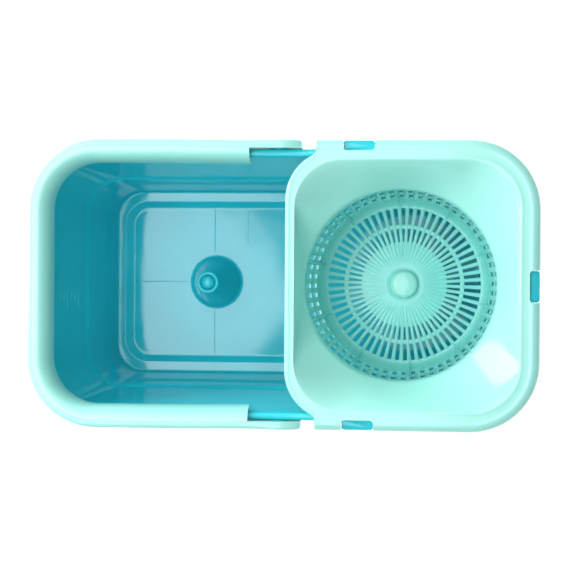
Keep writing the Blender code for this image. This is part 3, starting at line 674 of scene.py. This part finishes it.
rings += [
    (under, .4),
    (guard_ring(HL - 7.2, 127.8, GC - 7.2, 247.2, 8.4, 122.4, 42.8, 247.2, 126.0, 247.2, EAR_X + g), .4),
    (guard_ring(HL - 3.3, 131.7, GC - 3.3, 246.2, 7.0, 123.8, 44.3, 246.6, 127.2, 246.2, EAR_X + g), .4),
    (guard_ring(HL - g, HW - g, GC - g, 243.0, 6.6, 124.1, 44.6, 245.0, 128.0, 244.2, EAR_X + g), .4),
    (guard_ring(HL - g, HW - g, GC - g, SK, 6.6, 124.1, 44.6, 241.6, 128.8, 241.2, EAR_X + g), .3),
]
rows = rounded_rows([r for r, f in rings], [f for r, f in rings], segs=3, closed=True)
guard = link("splash_guard_shell", loft_mesh("splash_guard_shell", rows, closed=True), MINT)
cuts = []
for sy in (1, -1):
    lo, hi = sorted((sy * 124.9, sy * 150.0))
    cuts.append(capsule("w", 58.2, 88.0, lo, hi, 215, 262, 3.6))
cuts.append(capsule("w", 230.6, 262.0, -14.9, 14.9, 215, 262, 3.6))
boolean(guard, cuts, solver="MANIFOLD")
shade(guard, 28)
ribs = []
for sy in (1, -1):
    for x in (105.0, 120.0, 150.0, 178.0):
        ribs.append(block("r", (x - 1.0, min(sy * 119.5, sy * 133.4), RIM_Z + 0.4), (x + 1.0, max(sy * 119.5, sy * 133.4), 246.6), 0.2, 1, MINT))
    ribs.append(block("r", (226.0, sy * 48 - 1.0, RIM_Z + 0.4), (238.8, sy * 48 + 1.0, 246.2), 0.2, 1, MINT))
ribs = join("guard_ribs", ribs)
for o in (guard, ribs):
    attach(o, "guard")
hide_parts("splash_guard")

# ------------------------------------------------------------------ basket
SLOTS = 60
PITCH = 360.0 / SLOTS
PHASE = -4.94
FZ = 112.0
# (r, z, row of slots that starts here, how far ribs between slots stand up)
profile = [
    (94.2, 192.6, 0, 0), (94.4, 195.0, 0, 0), (93.6, 196.2, 0, 0), (92.2, 196.2, 0, 0), (91.5, 195.2, 0, 0), (91.3, 187.0, 0, 0),
    (91.2, 182.0, 1, 0), (88.7, 168.0, 0, 0), (88.4, 160.0, 0, 0), (88.1, 152.0, 1, 0), (85.7, 138.0, 0, 0),
    (84.9, 127.0, 0, 0), (84.3, 122.0, 0, 0), (83.2, 117.6, 0, 0), (81.6, 114.6, 0, 0), (79.4, 112.7, 0, 0), (77.6, FZ + 0.1, 0, .15),
    (76.4, FZ, 1, .5), (68.0, FZ, 1, .75), (60.0, FZ + 0.05, 0, .75), (59.0, FZ + 0.25, 0, .65), (57.8, FZ + 0.35, 0, .6),
    (56.8, FZ + 0.25, 0, .7), (56.0, FZ + 0.15, 1, .8), (49.0, FZ + 0.4, 1, .95), (42.7, FZ + 0.8, 0, 1.0), (40.0, FZ + 1.05, 0, .95),
    (36.0, FZ + 1.5, 0, .8), (32.0, FZ + 2.0, 0, .55), (28.0, FZ + 2.6, 0, .3), (25.0, FZ + 3.0, 0, .1), (21.0, FZ + 3.4, 0, 0),
    (18.0, FZ + 3.5, 0, 0), (15.6, FZ + 3.3, 0, 0), (14.4, FZ + 3.1, 0, 0), (12.2, FZ + 3.1, 0, 0)]


def half_slot(r):
    """Half the angle of a slot or of the valley between two spokes: the inner row tapers towards the hub."""
    if r > 80.0:
        return 1.4
    if r > 59.5:
        return 1.5
    return 1.5 - 0.7 * min(1.0, (59.5 - r) / 16.8)


cols = []               # (slot number, place in the pitch, 0 for the open sector that starts here, height share of the rib)
for k in range(SLOTS):
    cols += [(k, 0, 0, 0.0), (k, 1, 1, 0.0), (k, 2, 1, 0.72), (k, 3, 1, 1.0), (k, 4, 1, 0.72)]
bm = bmesh.new()
grid = []
for r, z, s, up in profile:
    row = []
    h = half_slot(r)
    place = (-h, h, h + 0.5, 3.0, PITCH - h - 0.5)
    for k, spot, solid, share in cols:
        t = math.radians(PHASE + PITCH * k + place[spot])
        row.append(bm.verts.new(((AX + r * math.cos(t)) * MM, r * math.sin(t) * MM, (z + up * share) * MM)))
    grid.append(row)
for i in range(len(profile) - 1):
    for j in range(len(cols)):
        if profile[i][2] and not cols[j][2]:
            continue
        m = (j + 1) % len(cols)
        bm.faces.new((grid[i][j], grid[i][m], grid[i + 1][m], grid[i + 1][j]))
bmesh.ops.delete(bm, geom=[v for v in bm.verts if not v.link_faces], context="VERTS")
mesh = bpy.data.meshes.new("basket_shell")
bm.to_mesh(mesh)
bm.free()
# darker copy of the mint plastic: painted shade on the basket inside the tub
basket = link("basket_shell", mesh, MINT_PAINTED_SHADE)
sol = basket.modifiers.new("wall", "SOLIDIFY")
sol.thickness, sol.offset, sol.use_even_offset = 1.5 * MM, -1.0, True
bake(basket)
shade(basket, 38)

bits = []
hub = curve_section([(6.8, 84.4, 0), (11.3, 84.4, .5), (12.0, 85.2, .5), (12.1, 117.4, .2), (9.4, 117.4, .1), (9.4, 115.5, 0),
                     (6.8, 115.5, 0)], segs=3)
bits.append(link("p", turned_mesh("p", hub, (AX, 0, 0), steps=72), MINT_PAINTED_SHADE))


def strip(points, width, up, angle):
    """A thin raised rib that follows (r, z) points in one half-plane of the basket."""
    bm = bmesh.new()
    rows = []
    n = len(points)
    for i, (r, z) in enumerate(points):
        a = Vector(points[max(0, i - 1)])
        b = Vector(points[min(n - 1, i + 1)])
        d = (b - a).normalized()
        nrm = Vector((d.y, -d.x))
        if nrm.y < -1e-6 or (abs(nrm.y) < 0.3 and nrm.x > 0):
            nrm = -nrm
        ease = min(1.0, min(i, n - 1 - i) / 1.5)
        h = up * ease
        row = []
        for off, rise in ((-0.5, -0.8), (-0.5, h * 0.7), (-0.25, h), (0.25, h), (0.5, h * 0.7), (0.5, -0.8)):
            rr, zz = r + nrm.x * rise, z + nrm.y * rise
            row.append(bm.verts.new((rr * MM, off * width * MM, zz * MM)))
        rows.append(row)
    for a, b in zip(rows, rows[1:]):
        for i in range(6):
            j = (i + 1) % 6
            bm.faces.new((a[i], a[j], b[j], b[i]))
    bm.faces.new(rows[0][::-1])
    bm.faces.new(rows[-1])
    bmesh.ops.recalc_face_normals(bm, faces=bm.faces)
    mesh = bpy.data.meshes.new("s")
    bm.to_mesh(mesh)
    bm.free()
    mesh.transform(Matrix.Translation((AX * MM, 0, 0)) @ Matrix.Rotation(math.radians(angle), 4, "Z"))
    return link("s", mesh, MINT_PAINTED_SHADE)


wall = [(r, z) for r, z, s, u in profile[5:17]]
dome = [(r, z) for r, z, s, u in profile[25:32]]
for a in (13.8, 49.4, 86.7, 122.7, 158.0, 194.0, 230.0, 266.7, 302.0, 339.0):
    near = round((a - 4.94 - 3.0) / PITCH) * PITCH + 4.94 + 3.0       # ribs stand between slots
    bits.append(strip(wall, 2.0, 2.4, -near))
    bits.append(strip(dome, 1.5, 0.7, -near))
bits = join("basket_ribs", bits)
shade(bits, 35)
for o in (basket, bits):
    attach(o, "spin_basket")
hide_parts("basket")

cap = curve_section([(12.3, 115.45, 0), (13.8, 115.45, .3), (13.8, 122.2, 1.6), (12.6, 125.0, 2.4), (8.0, 126.4, 3.0), (0, 126.6, 0),
                     (0, 124.4, 0), (9.0, 124.0, 1.0), (11.2, 122.4, 1.0), (11.2, 117.9, .1), (12.3, 117.9, .1)], segs=5)
cap = link("hub_cap_shell", turned_mesh("hub_cap_shell", cap, (AX, 0, 0), steps=80), MINT)
shade(cap, 40)
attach(cap, "spin_basket")
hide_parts("hub_cap")

# ------------------------------------------------------------------ small CAD nodes keep their shape, with better materials
tip = curve_section([(0, 60.0, 0), (2.9, 60.0, .3), (2.9, 67.2, .1), (6.6, 67.2, .2), (6.5, 68.8, 1.0), (5.0, 70.8, 2.0), (2.2, 71.7, 1.5),
                     (0, 71.8, 0)], segs=4)
tip = link("post_tip_button", turned_mesh("post_tip_button", tip, (POST_X, 0, 0), steps=64), TUB)
shade(tip, 40)
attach(tip, "bucket")
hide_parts("post_tip")

plug = curve_section([(0, 201.0, 0), (7.8, 201.0, .3), (8.4, 201.8, .3), (8.4, 211.6, .1), (13.4, 211.6, .3), (13.4, 214.4, .8),
                      (12.2, 216.3, 1.5), (6.0, 216.9, .5), (5.2, 216.1, .5), (0, 216.1, 0)], segs=4)
plug = link("drain_plug_body", turned_mesh("drain_plug_body", plug, (0, 0, 26), "X", 72), TUB)
shade(plug, 40)
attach(plug, "drain")
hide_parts("drain_plug")

for name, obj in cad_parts.items():
    if name in ("spindle", "top_washer", "retaining_ring"):
        m = STEEL
    elif name in ("thrust_washer", "lower_bush", "upper_bush"):
        m = NYLON
    elif name.startswith("foot_") or name == "drain_seal":
        m = RUBBER
    else:
        continue
    for s in obj.material_slots:
        s.material = m

# ------------------------------------------------------------------ floor and light
bm = bmesh.new()
bmesh.ops.create_grid(bm, x_segments=1, y_segments=1, size=4.0)
mesh = bpy.data.meshes.new("floor")
bm.to_mesh(mesh)
bm.free()
fm, nt, bsdf = new_material("floor_paper")
bsdf.inputs["Base Color"].default_value = (0.42, 0.42, 0.42, 1)
bsdf.inputs["Roughness"].default_value = 0.9
bsdf.inputs["Specular IOR Level"].default_value = 0.1
bsdf.inputs["Emission Color"].default_value = (1, 1, 1, 1)
bsdf.inputs["Emission Strength"].default_value = 0.88
floor = link("floor", mesh, fm)

# soft studio surround: bright overhead and to the left and back, dim towards the right-hand horizon
world = bpy.data.worlds.new("world")
scene.world = world
world.use_nodes = True
nt = world.node_tree
tc = node(nt, "ShaderNodeTexCoord")
dot = node(nt, "ShaderNodeVectorMath", operation="DOT_PRODUCT")
dot.inputs[1].default_value = Vector((-0.42, 0.20, 0.88)).normalized()
nt.links.new(tc.outputs["Generated"], dot.inputs[0])
ramp = node(nt, "ShaderNodeMapRange", **{"From Min": 0.0, "From Max": 1.0, "To Min": 0.235, "To Max": 0.56})
nt.links.new(dot.outputs["Value"], ramp.inputs["Value"])
nt.links.new(ramp.outputs["Result"], nt.nodes["Background"].inputs["Strength"])
nt.nodes["Background"].inputs["Color"].default_value = (1.0, 1.0, 1.0, 1)


def area(name, at, aim, size, power, shape="RECTANGLE", size_y=None, colour=(1, 1, 1)):
    data = bpy.data.lights.new(name, "AREA")
    data.shape = shape
    data.size = size
    if size_y:
        data.size_y = size_y
    data.energy = power
    data.color = colour
    obj = bpy.data.objects.new(name, data)
    obj.location = at
    obj.rotation_euler = (Vector(aim) - Vector(at)).to_track_quat("-Z", "Y").to_euler()
    scene.collection.objects.link(obj)
    return obj


area("lamp_over_wash", (-0.431, -0.026, 1.80), (-0.431, -0.026, 0), 0.46, 2.6, "ELLIPSE", 0.42)
area("lamp_low_left", (-1.01, 0.42, 0.56), (0.16, -0.04, 0.22), 1.0, 17.0, "RECTANGLE", 0.74)
area("lamp_over_guard", (0.0, 0.0, 1.95), (0.0, 0.0, 0), 0.33, 2.2, "RECTANGLE", 0.74)
area("lamp_far_left", (-0.78, 0.0, 1.80), (-0.78, 0.0, 0), 0.28, 2.6, "RECTANGLE", 0.8)
area("lamp_back", (-0.35, 0.78, 1.80), (-0.35, 0.78, 0), 1.0, 6.4, "RECTANGLE", 0.75)
area("lamp_front", (-0.35, -0.78, 1.80), (-0.35, -0.78, 0), 1.0, 7.0, "RECTANGLE", 0.75)
